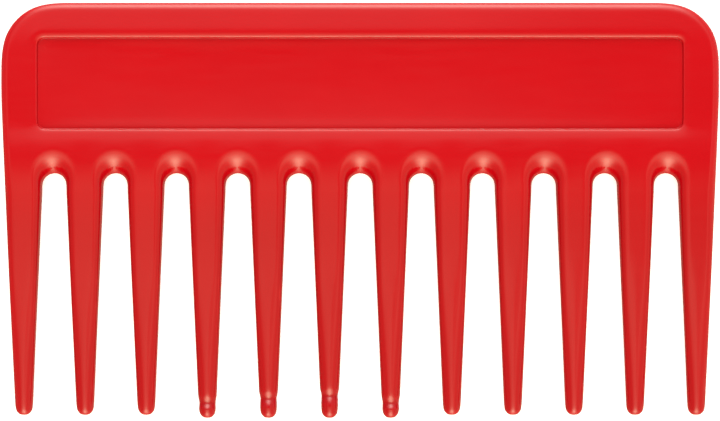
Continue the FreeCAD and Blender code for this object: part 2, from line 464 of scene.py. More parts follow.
    def ring(
        self, left: float, top: float, bottom: float, top_round: float, bottom_round: float, legs: Point
    ) -> list[Point]:
        """Finds the left half of a loop round the panel.

        Args:
            left: Its upright side.
            top: The depth of its upper side.
            bottom: The depth of its lower side.
            top_round: The radius of its upper corners.
            bottom_round: The radius of its lower corners, or 0.
            legs: For square corners, the steps along their sides.

        Returns:
            The places from the middle of the lower side to the middle of the upper side.
        """
        middle = len(self.columns) // 2
        inner = self.columns[3 : middle + 1]
        lower = [(x, bottom) for x in reversed(inner)] + self.corner(left, bottom, -1, bottom_round, legs)
        upright = [(left, d) for d in reversed(self.rows)]
        upper = list(reversed(self.corner(left, top, 1, top_round, legs))) + [(x, top) for x in inner]
        return lower + upright + upper

    @staticmethod
    def mirrored(half: Sequence[Point], closed: bool) -> list[Point]:
        """Adds the right half to the left half of a loop; a closed loop's two middle places stay single."""
        other = half[1:-1] if closed else half[:-1]
        return list(half) + [(-x, d) for x, d in reversed(other)]

    def panel_rings(self, face: Face) -> list[list[Vector]]:
        """Finds the loops round the panel, from its soft lip down to its floor.

        Args:
            face: The face, of which only the front one is sunk.

        Returns:
            The loops.
        """
        rings = []
        for outward, sunk in self.panel_lip:
            rounding = max(self.panel_round + outward, self.panel_round_least)
            half = self.ring(
                -self.panel_half - outward,
                self.panel_top - outward,
                self.panel_bottom + outward,
                rounding,
                rounding,
                (0.0, 0.0),
            )
            loop = self.mirrored(half, closed=True)
            if face is Face.REAR:
                rings.append([self.place(p, 0.0) for p in loop])
                continue
            blend = max(0.0, 1 - sunk / self.panel_sunk)
            rings.append([self.place(p, self.thickness - sunk - blend * sag_at(p[1])) for p in loop])
        return rings

    def floor_height(self, point: Point, face: Face) -> float:
        """Finds how high the panel's floor is at a place: it is dished a little, as a thick moulding sinks.

        Args:
            point: The place.
            face: The face, of which only the front one has a panel.

        Returns:
            The height.
        """
        if face is Face.REAR:
            return 0.0
        middle = (self.panel_top + self.panel_bottom) / 2
        down = (point[1] - middle) / (self.panel_bottom - middle)
        across = point[0] / self.panel_half
        return self.thickness - self.panel_sunk - self.panel_dish * (1 - down**2) * (1 - across**8)

    def frame_ring(self) -> list[Point]:
        """The left half of the loop that the rim, the panel and the gap cells share."""
        legs = (self.tooth_pitch / 4, self.frame_leg)
        return self.ring(
            self.frame_left, self.frame_top, self.frame_bottom, self.corner_radius - self.frame_top, 0.0, legs
        )

    def draw_edge(
        self, cage: Cage, face: Face, places: Sequence[EdgePlace], border: Sequence[Point], middle: float
    ) -> None:
        """Draws a rounded edge and the face beside it, the same on both sides of a middle line.

        Args:
            cage: The cage to add to.
            face: The face.
            places: The left half of the edge, in places from the middle line.
            border: The places on the face where the drawing ends, as many.
            middle: Where the middle line is along X.
        """
        rows = []
        for step in range(len(SAG_SHARES)):
            half = []
            heights = []
            for (x, d), (across, down), roll in places:
                inset, height = edge_profile(face, self.thickness, roll, REAR_ROLL)[step]
                half.append((x + across * inset, d + down * inset))
                heights.append(height - self.sag(face, half[-1][1], step))
            rows.append((half, heights))
        rows.append((border, [self.face_height(face, depth) for _, depth in border]))
        loops = []
        for half, heights in rows:
            full = self.mirrored(half, closed=False)
            all_heights = heights + list(reversed(heights[:-1]))
            loops.append([self.place((middle + x, d), z) for (x, d), z in zip(full, all_heights)])
        cage.patch(loops)

    def draw_rim(self, cage: Cage, face: Face) -> None:
        """Draws the rounded outer edge, from the middle of the wall onto a face and in to the frame ring.

        Args:
            cage: The cage to add to.
            face: The face.
        """
        middle = len(self.columns) // 2
        places: list[EdgePlace] = []
        for depth, share in zip(self.tail_rows, (0.0, 0.2, 0.7)):
            places.append(((-self.side_at(depth), depth), (1.0, 0.0), TOOTH_ROLL.mixed(RIM_ROLL, share)))
        for depth in (self.frame_bottom, *self.side_rows, *reversed(self.rows)):
            places.append(((-self.side_at(depth), depth), (1.0, 0.0), RIM_ROLL))
        arc = list(reversed(self.corner(-self.side, 0.0, 1, self.corner_radius, (0.0, 0.0))))
        for k, point in enumerate(arc):
            turn = k * QUARTER_STEP
            places.append((point, (math.cos(turn), math.sin(turn)), RIM_ROLL))
        for x in self.columns[3 : middle + 1]:
            places.append(((x, 0.0), (0.0, 1.0), RIM_ROLL))
        tail = [(self.frame_left, depth) for depth in self.tail_rows]
        self.draw_edge(cage, face, places, tail + self.frame_ring()[middle:], 0.0)

    def draw_gap(self, cage: Cage, face: Face, number: int) -> None:
        """Draws one arched gap's edge and the face round it, out to the middle of the teeth beside it.

        Args:
            cage: The cage to add to.
            face: The face.
            number: The gap's number from the left, from 0.
        """
        middle = self.columns[4 * number + 2]
        tooth = self.columns[4 * number] - middle
        foot = (-self.arch_radius, self.seam_depth)
        places: list[EdgePlace] = [(foot, (-1.0, 0.0), TOOTH_ROLL)]
        for k in range(5):
            turn = k * QUARTER_STEP
            stand = self.arch_radius * (ROUND_GAIN if k else 1.0)
            point = (-stand * math.cos(turn), self.arch_centre - stand * math.sin(turn))
            roll = TOOTH_ROLL.mixed(CROWN_ROLL, math.sin(turn) ** 2)
            places.append((point, (-math.cos(turn), -math.sin(turn)), roll))
        border = [(tooth, depth) for depth in self.tail_rows]
        border += [(x, self.frame_bottom) for x in (tooth, tooth / 2, 0.0)]
        self.draw_edge(cage, face, places, border, middle)

    def draw_panel(self, cage: Cage, face: Face) -> None:
        """Draws a face from the frame ring inwards: the lip, the wall and the dished floor of the panel.

        Args:
            cage: The cage to add to.
            face: The face.
        """
        frame_places = self.mirrored(self.frame_ring(), closed=True)
        frame_loop = [self.place(p, self.face_height(face, p[1])) for p in frame_places]
        left = -self.panel_half + self.floor_inset
        top = self.panel_top + self.floor_inset
        bottom = self.panel_bottom - self.floor_inset
        legs = self.floor_legs
        square = self.mirrored(self.ring(left, top, bottom, 0.0, 0.0, legs), closed=True)
        floor_loop = [self.place(p, self.floor_height(p, face)) for p in square]
        cage.patch([frame_loop, *self.panel_rings(face), floor_loop], closed=True)
        half = [left, left + legs[0], left + 2 * legs[0]] + self.columns[3 : len(self.columns) // 2]
        across = half + [0.0] + [-x for x in reversed(half)]
        down = [top, top + legs[1], top + 2 * legs[1]] + self.rows
        down += [bottom - 2 * legs[1], bottom - legs[1], bottom]
        cage.patch([[self.place((x, d), self.floor_height((x, d), face)) for x in across] for d in down])

    def build(self) -> bpy.types.Object:
        """Builds the back as one closed smoothed mesh.

        Returns:
            The back's object.
        """
        cage = Cage()
        for face in Face:
            self.draw_rim(cage, face)
            self.draw_panel(cage, face)
            for number in range(self.tooth_count - 1):
                self.draw_gap(cage, face, number)
        seam = self.spine - self.seam_depth
        for number in range(self.tooth_count):
            centre = self.columns[4 * number]
            sag = sag_at(self.seam_depth)
            loop = root_section(centre, self.root_half, seam, self.thickness, TOOTH_ROLL, REAR_ROLL, sag)
            cage.patch(cap_rows(loop))
        return cage.finish("back_moulding", seam)


@dataclass
class Tooth(Member):
    """One tapered tooth, from the seam under the back to its round tip.

    Attributes:
        number: Its number from the left, from 1.
        bead_height: How far above the tip's end it is fully round, and notched if it is a beaded one.
        draft: How much each of its sides leans in.
        tip_thickness: Its thickness at the tip.
        long_length: The length past which it is one of the longer teeth, which are beaded.
        flat_until: How far below the seam it stays flat-faced, before it turns round.
        rings: How far below the seam the loops of every tooth's cage are.
        plain_ring: The same for the last loop of a plain tooth, above its end.
        ball_radius: The bead's radius, seen from the front.
        ball_thickness: The bead's thickness.
        notch_half: Half the width of the notch above the bead.
        notch_thickness: The notch's thickness.
        notch_reach: The length by which the notch's loops are spaced.
        above_notch: How many of those lengths below the notch's place the loops above it are.
        in_notch: The same for the loops in it.
        below_notch: The same for the loop where the bead begins.
    """

    number: int
    bead_height: float = 2.9 * MM
    draft: float = math.radians(2.49)
    tip_thickness: float = 3.0 * MM
    long_length: float = 37.9 * MM
    flat_until: float = 12.0 * MM
    rings: tuple[float, ...] = (0.0, 1.5 * MM, 6.0 * MM, 12.0 * MM, 18.0 * MM, 24.0 * MM, 30.0 * MM)
    plain_ring: float = 34.0 * MM
    ball_radius: float = 1.41 * MM
    ball_thickness: float = 2.95 * MM
    notch_half: float = 1.36 * MM
    notch_thickness: float = 2.5 * MM
    notch_reach: float = 0.7 * MM
    above_notch: tuple[float, float] = (-2.2, -1.0)
    in_notch: tuple[float, float] = (0.1, 0.8)
    below_notch: float = 1.6

    def __post_init__(self) -> None:
        """Reads the tooth's place from the frame."""
        low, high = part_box(self.node)
        self.centre = (low.x + high.x) / 2
        self.root_half = (high.x - low.x) / 2
        self.seam = high.y
        self.length = high.y - low.y
        self.thickness = high.z
        self.tip = Tip.BEADED if self.length > self.long_length else Tip.PLAIN

    @property
    def node(self) -> str:
        """The name of the tooth's node in the frame."""
        return f"tooth_{self.number:02d}"

    def half_at(self, depth: float) -> float:
        """Half the tooth's width at a depth below the seam, where its sides lean in."""
        return self.root_half - depth * math.tan(self.draft)

    def thickness_at(self, depth: float) -> float:
        """The tooth's thickness at a depth below the seam: it thins evenly towards the tip."""
        top = self.thickness - FACE_SAG[-1][1]
        return top + (self.tip_thickness - top) * depth / self.length

    def section(self, depth: float, half: float, thickness: float) -> list[Vector]:
        """Finds the sixteen cage points at one depth: flat-faced at the root and round lower down.

        Args:
            depth: How far below the seam.
            half: Half the width there.
            thickness: The thickness there.

        Returns:
            The points, in the order of root_section().
        """
        scale = half / self.root_half
        roll = Roll(TOOTH_ROLL.reach * scale, TOOTH_ROLL.drop * scale)
        sag = self.thickness - thickness
        flat = root_section(self.centre, half, self.seam - depth, self.thickness, roll, REAR_ROLL, sag)
        round_from = self.length - self.bead_height - self.notch_reach
        roundness = min(1.0, max(0.0, (depth - self.flat_until) / (round_from - self.flat_until)))
        return [a.lerp(b, roundness) for a, b in zip(flat, self.round_section(depth, half, thickness))]

    def round_section(self, depth: float, half: float, thickness: float) -> list[Vector]:
        """Finds the sixteen cage points of a round section that stands on the floor.

        Args:
            depth: How far below the seam.
            half: Its half width.
            thickness: Its thickness.

        Returns:
            The points, in the order of root_section().
        """
        points = []
        for k in range(16):
            turn = math.pi - k * QUARTER_STEP
            x = self.centre + half * ROUND_GAIN * math.cos(turn)
            z = thickness / 2 * (1 + ROUND_GAIN * math.sin(turn))
            points.append(Vector((x, self.seam - depth, z)))
        return points

    def draw_end(self, cage: Cage, last: list[Vector], radius: float, thickness: float) -> None:
        """Draws the round end of the tooth, closed with a domed grid.

        Args:
            cage: The cage to add to.
            last: The loop above the round end.
            radius: The end's radius, seen from the front.
            thickness: The end's thickness.
        """
        middle = Vector((self.centre, self.seam - self.length + radius, thickness / 2))
        reach = radius * END_GAIN
        loops = [last]
        for turn in (0.0, END_STEP, 2 * END_STEP):
            share = math.cos(turn) * (END_GAIN if turn else 1.0)
            loop = self.round_section(self.length - radius + reach * math.sin(turn), radius, thickness)
            for point in loop:
                point.x = middle.x + (point.x - middle.x) * share
                point.z = middle.z + (point.z - middle.z) * share
            loops.append(loop)
        cage.patch(loops, closed=True)
        dome = cap_rows(loops[-1])
        for row in dome[1:-1]:
            for point in row[1:-1]:
                across = (point.x - middle.x) / reach
                out = (point.z - middle.z) / (thickness / 2 * END_GAIN)
                point.y = middle.y - radius * math.sqrt(max(0.0, 1 - across**2 - out**2))
        cage.patch(dome)

    def build(self) -> bpy.types.Object:
        """Builds the tooth as one closed smoothed mesh.

        Returns:
            The tooth's object.
        """
        cage = Cage()
        depths = list(self.rings)
        if self.tip is Tip.PLAIN:
            radius = self.half_at(self.length) * math.cos(self.draft) / (1 - math.sin(self.draft))
            thickness = self.tip_thickness
            depths.append(self.plain_ring)
        else:
            radius = self.ball_radius
            thickness = self.ball_thickness
            notch = self.length - self.bead_height
            depths += [notch + step * self.notch_reach for step in self.above_notch]
        loops = [self.section(depth, self.half_at(depth), self.thickness_at(depth)) for depth in depths]
        if self.tip is Tip.BEADED:
            for step in self.in_notch:
                depth = notch + step * self.notch_reach
                loops.append(self.round_section(depth, self.notch_half, self.notch_thickness))
            loops.append(self.round_section(notch + self.below_notch * self.notch_reach, radius, thickness))
        cage.patch(loops, closed=True)
        cage.patch(cap_rows(loops[0]))
        self.draw_end(cage, loops[-1], radius, thickness)
        return cage.finish(f"{self.node}_moulding", self.seam)


BEAD_HEIGHTS = {4: 2.9 * MM, 5: 3.6 * MM, 6: 4.1 * MM, 7: 2.9 * MM}
"""How far above its end each beaded tooth is notched."""


@dataclass(frozen=True)
class RedPlastic:
    """The moulding's glossy red plastic: clouded a little, streaked where it flowed, rubbed on its edges, and
    darkened on its teeth by painted shade.

    Real plastic gets glossier at a glancing look. Here the gloss is taken off there instead, because the
    bright patches of light would turn the teeth white in the lowest views. That is a choice of look, not
    something measured.

    Attributes:
        name: The material's name.
        slot: The part's material slot that it stands for.
        deep: The plastic's deeper red.
        light: Its lighter red.
        painted_teeth_shade: Painted shade: how much the red is darkened on the teeth, which are thinner than
            the thick back that gives back more of the light.
        rubbed: The paler red of its rubbed edges.
        gloss: Its roughness where it is glossiest, and where it is dullest.
        glancing: How glancing a look is from where the gloss eases off to where it is gone.
        painted_shade_span: The places along Y between which the painted shade deepens the red, from the back
            to the teeth.
        peel: How deep the faint waves in its surface are.
        scratch: How deep the hair scratches are, as a share of the waves.
        parting: The height of the mould's parting line, from its lower to its upper side.
        parting_step: How far it stands out.
    """

    name: str = "red_plastic"
    slot: str = "red_plastic"
    deep: tuple[float, float, float, float] = (0.435, 0.0017, 0.0055, 1.0)
    light: tuple[float, float, float, float] = (0.485, 0.0023, 0.0065, 1.0)
    painted_teeth_shade: float = 0.87
    rubbed: tuple[float, float, float, float] = (0.5, 0.012, 0.016, 1.0)
    gloss: tuple[float, float] = (0.085, 0.16)
    glancing: tuple[float, float] = (0.7, 0.88)
    painted_shade_span: tuple[float, float] = (11.0 * MM, -6.0 * MM)
    peel: float = 0.004 * MM
    scratch: float = 0.05
    parting: tuple[float, float] = (1.3 * MM, 1.4 * MM)
    parting_step: float = 0.03 * MM

    def make(self) -> bpy.types.Material:
        """Makes the material.

        Returns:
            The material.
        """
        material = bpy.data.materials.new(self.name)
        material.use_nodes = True
        tree = material.node_tree
        tree.nodes.clear()

        colour_frame = tree.nodes.new("NodeFrame")
        colour_frame.label = "Clouds in the colour"
        # Painted shade: this frame holds the ramp that darkens the red towards the teeth.
        painted_shade_frame = tree.nodes.new("NodeFrame")
        painted_shade_frame.label = "Thin teeth look deeper"
        wear_frame = tree.nodes.new("NodeFrame")
        wear_frame.label = "Rubbed edges"
        gloss_frame = tree.nodes.new("NodeFrame")
        gloss_frame.label = "Flow streaks in the gloss"
        relief_frame = tree.nodes.new("NodeFrame")
        relief_frame.label = "Waves, hair scratches and parting line"

        place = tree.nodes.new("ShaderNodeTexCoord")
        place.label = "place on the comb"
        place.location = (-1500, 0)
        split = tree.nodes.new("ShaderNodeSeparateXYZ")
        split.label = "place along each axis"
        split.location = (-1300, -300)
        clouds = tree.nodes.new("ShaderNodeTexNoise")
        clouds.label = "broad clouds"
        clouds.location = (-1050, 500)
        clouds.parent = colour_frame
        shade = tree.nodes.new("ShaderNodeMix")
        shade.label = "deep to light red"
        shade.location = (-850, 500)
        shade.parent = colour_frame
        # Painted shade: the red is darkened by place along Y, from the back to the teeth.
        painted_shade_ramp = tree.nodes.new("ShaderNodeMapRange")
        painted_shade_ramp.label = "from the back to the teeth"
        painted_shade_ramp.location = (-1050, 200)
        painted_shade_ramp.parent = painted_shade_frame
        painted_shade_mix = tree.nodes.new("ShaderNodeMix")
        painted_shade_mix.label = "deeper where thin"
        painted_shade_mix.location = (-600, 300)
        painted_shade_mix.parent = painted_shade_frame
        shape = tree.nodes.new("ShaderNodeNewGeometry")
        shape.label = "edges of the shape"
        shape.location = (-1050, -50)
        shape.parent = wear_frame
        edges = tree.nodes.new("ShaderNodeMapRange")
        edges.label = "sharpest edges"
        edges.location = (-850, -50)
        edges.parent = wear_frame
        patches = tree.nodes.new("ShaderNodeTexNoise")
        patches.label = "rubbed here and there"
        patches.location = (-850, -300)
        patches.parent = wear_frame
        wear = tree.nodes.new("ShaderNodeMath")
        wear.label = "wear"
        wear.location = (-650, -100)
        wear.parent = wear_frame
        rub = tree.nodes.new("ShaderNodeMix")
        rub.label = "paler where rubbed"
        rub.location = (-400, 200)
        rub.parent = wear_frame
        stretch = tree.nodes.new("ShaderNodeMapping")
        stretch.label = "drawn out along the back"
        stretch.location = (-1050, -600)
        stretch.parent = gloss_frame
        streaks = tree.nodes.new("ShaderNodeTexNoise")
        streaks.label = "flow streaks"
        streaks.location = (-850, -600)
        streaks.parent = gloss_frame
        dulling = tree.nodes.new("ShaderNodeMath")
        dulling.label = "streaks and wear"
        dulling.location = (-650, -600)
        dulling.parent = gloss_frame
        roughness = tree.nodes.new("ShaderNodeMapRange")
        roughness.label = "gloss"
        roughness.location = (-450, -600)
        roughness.parent = gloss_frame
        glance = tree.nodes.new("ShaderNodeLayerWeight")
        glance.label = "how glancing the look is"
        glance.location = (-650, -800)
        glance.parent = gloss_frame
        sheen = tree.nodes.new("ShaderNodeMapRange")
        sheen.label = "gloss taken off at the most glancing looks"
        sheen.location = (-450, -850)
        sheen.parent = gloss_frame
        waves = tree.nodes.new("ShaderNodeTexNoise")
        waves.label = "faint waves"
        waves.location = (-1050, -950)
        waves.parent = relief_frame
        turn = tree.nodes.new("ShaderNodeMapping")
        turn.label = "across the grain"
        turn.location = (-1050, -1250)
        turn.parent = relief_frame
        hairs = tree.nodes.new("ShaderNodeTexNoise")
        hairs.label = "hair scratches"
        hairs.location = (-850, -1250)
        hairs.parent = relief_frame
        parting = tree.nodes.new("ShaderNodeMapRange")
        parting.label = "above the parting line"
        parting.location = (-850, -1550)
        parting.parent = relief_frame
        wave_bump = tree.nodes.new("ShaderNodeBump")
        wave_bump.label = "waves"
        wave_bump.location = (-600, -950)
        wave_bump.parent = relief_frame
        hair_bump = tree.nodes.new("ShaderNodeBump")
        hair_bump.label = "scratches"
        hair_bump.location = (-400, -1050)
        hair_bump.parent = relief_frame
        parting_bump = tree.nodes.new("ShaderNodeBump")
        parting_bump.label = "parting line"
        parting_bump.location = (-200, -1150)
        parting_bump.parent = relief_frame
        shader = tree.nodes.new("ShaderNodeBsdfPrincipled")
        shader.label = "glossy red plastic"
        shader.location = (0, 0)
        output = tree.nodes.new("ShaderNodeOutputMaterial")
        output.label = "plastic surface"
        output.location = (300, 0)

        clouds.inputs["Scale"].default_value = 70.0
        clouds.inputs["Detail"].default_value = 3.0
        shade.data_type = "RGBA"
        shade.inputs["A"].default_value = self.deep
        shade.inputs["B"].default_value = self.light
        painted_shade_ramp.interpolation_type = "SMOOTHSTEP"
        painted_shade_ramp.inputs["From Min"].default_value = self.painted_shade_span[0]
        painted_shade_ramp.inputs["From Max"].default_value = self.painted_shade_span[1]
        painted_shade_mix.data_type = "RGBA"
        painted_shade_mix.blend_type = "MULTIPLY"
        painted_shade_mix.inputs["B"].default_value = (self.painted_teeth_shade, self.painted_teeth_shade, self.painted_teeth_shade, 1.0)
        edges.inputs["From Min"].default_value = 0.55
        edges.inputs["From Max"].default_value = 0.75
        patches.inputs["Scale"].default_value = 260.0
        patches.inputs["Detail"].default_value = 4.0
        wear.operation = "MULTIPLY"
        rub.data_type = "RGBA"
        rub.inputs["B"].default_value = self.rubbed
        stretch.inputs["Scale"].default_value = (0.12, 1.0, 1.0)
        streaks.inputs["Scale"].default_value = 900.0
        streaks.inputs["Detail"].default_value = 5.0
        streaks.inputs["Roughness"].default_value = 0.6
        dulling.operation = "ADD"
        roughness.inputs["From Min"].default_value = 0.3
        roughness.inputs["From Max"].default_value = 0.9
        roughness.inputs["To Min"].default_value = self.gloss[0]
        roughness.inputs["To Max"].default_value = self.gloss[1]
        glance.inputs["Blend"].default_value = 0.5
        sheen.inputs["From Min"].default_value = self.glancing[0]
        sheen.inputs["From Max"].default_value = self.glancing[1]
        sheen.inputs["To Min"].default_value = 0.5
        sheen.inputs["To Max"].default_value = 0.0
        waves.inputs["Scale"].default_value = 300.0
        waves.inputs["Detail"].default_value = 2.0
        turn.inputs["Rotation"].default_value = (0.0, 0.0, math.radians(12))
        turn.inputs["Scale"].default_value = (0.05, 1.0, 1.0)
        hairs.inputs["Scale"].default_value = 3000.0
        hairs.inputs["Detail"].default_value = 2.0
        parting.inputs["From Min"].default_value = self.parting[0]
        parting.inputs["From Max"].default_value = self.parting[1]
        wave_bump.inputs["Strength"].default_value = 1.0
        wave_bump.inputs["Distance"].default_value = self.peel
        hair_bump.inputs["Strength"].default_value = 1.0
        hair_bump.inputs["Distance"].default_value = self.scratch * self.peel
        parting_bump.inputs["Strength"].default_value = 0.6
        parting_bump.inputs["Distance"].default_value = self.parting_step
        shader.inputs["IOR"].default_value = 1.5

        tree.links.new(place.outputs["Object"], split.inputs["Vector"])
        tree.links.new(place.outputs["Object"], clouds.inputs["Vector"])
        tree.links.new(clouds.outputs["Fac"], shade.inputs["Factor"])
        # Painted shade: the ramp along Y multiplies the red down towards the teeth.
        tree.links.new(split.outputs["Y"], painted_shade_ramp.inputs["Value"])
        tree.links.new(painted_shade_ramp.outputs["Result"], painted_shade_mix.inputs["Factor"])
        tree.links.new(shade.outputs["Result"], painted_shade_mix.inputs["A"])
        tree.links.new(shape.outputs["Pointiness"], edges.inputs["Value"])
        tree.links.new(place.outputs["Object"], patches.inputs["Vector"])
        tree.links.new(edges.outputs["Result"], wear.inputs[0])
        tree.links.new(patches.outputs["Fac"], wear.inputs[1])
        tree.links.new(painted_shade_mix.outputs["Result"], rub.inputs["A"])
        tree.links.new(wear.outputs["Value"], rub.inputs["Factor"])
        tree.links.new(rub.outputs["Result"], shader.inputs["Base Color"])
        tree.links.new(place.outputs["Object"], stretch.inputs["Vector"])
        tree.links.new(stretch.outputs["Vector"], streaks.inputs["Vector"])
        tree.links.new(streaks.outputs["Fac"], dulling.inputs[0])
        tree.links.new(wear.outputs["Value"], dulling.inputs[1])
        tree.links.new(dulling.outputs["Value"], roughness.inputs["Value"])
        tree.links.new(roughness.outputs["Result"], shader.inputs["Roughness"])
        tree.links.new(glance.outputs["Facing"], sheen.inputs["Value"])
        tree.links.new(sheen.outputs["Result"], shader.inputs["Specular IOR Level"])
        tree.links.new(place.outputs["Object"], waves.inputs["Vector"])
        tree.links.new(waves.outputs["Fac"], wave_bump.inputs["Height"])
        tree.links.new(place.outputs["Object"], turn.inputs["Vector"])
        tree.links.new(turn.outputs["Vector"], hairs.inputs["Vector"])
        tree.links.new(hairs.outputs["Fac"], hair_bump.inputs["Height"])
        tree.links.new(wave_bump.outputs["Normal"], hair_bump.inputs["Normal"])
        tree.links.new(split.outputs["Z"], parting.inputs["Value"])
        tree.links.new(parting.outputs["Result"], parting_bump.inputs["Height"])
        tree.links.new(hair_bump.outputs["Normal"], parting_bump.inputs["Normal"])
        tree.links.new(parting_bump.outputs["Normal"], shader.inputs["Normal"])
        tree.links.new(shader.outputs["BSDF"], output.inputs["Surface"])
        return material


@dataclass(frozen=True)
class PaleFloor:
    """The plain pale floor's finish: it glows a little, as a light table does.

    Attributes:
        name: The material's name.
        shade: Its lighter and its darker white.
        glow: How bright it glows.
    """

    name: str = "pale_floor"
    shade: tuple[float, float] = (0.9, 0.88)
    glow: float = 0.55

    def make(self) -> bpy.types.Material:
        """Makes the material.

        Returns:
            The material.
        """
        material = bpy.data.materials.new(self.name)
        material.use_nodes = True
        tree = material.node_tree
        tree.nodes.clear()
        place = tree.nodes.new("ShaderNodeTexCoord")
        place.label = "place on the floor"
        place.location = (-700, 0)
        grain = tree.nodes.new("ShaderNodeTexNoise")
        grain.label = "paper grain"
        grain.location = (-500, 0)
        tone = tree.nodes.new("ShaderNodeMix")
        tone.label = "two whites"
        tone.location = (-250, 0)
        shader = tree.nodes.new("ShaderNodeBsdfPrincipled")
        shader.label = "matt white"
        shader.location = (0, 0)
        output = tree.nodes.new("ShaderNodeOutputMaterial")
        output.label = "floor surface"
        output.location = (300, 0)

        grain.inputs["Scale"].default_value = 400.0
        tone.data_type = "RGBA"
        tone.inputs["A"].default_value = (*[self.shade[0]] * 3, 1.0)
        tone.inputs["B"].default_value = (*[self.shade[1]] * 3, 1.0)
        shader.inputs["Roughness"].default_value = 0.8
        shader.inputs["Emission Color"].default_value = (1.0, 1.0, 1.0, 1.0)
        shader.inputs["Emission Strength"].default_value = self.glow

        tree.links.new(place.outputs["Object"], grain.inputs["Vector"])
        tree.links.new(grain.outputs["Fac"], tone.inputs["Factor"])
        tree.links.new(tone.outputs["Result"], shader.inputs["Base Color"])
        tree.links.new(shader.outputs["BSDF"], output.inputs["Surface"])
        return material


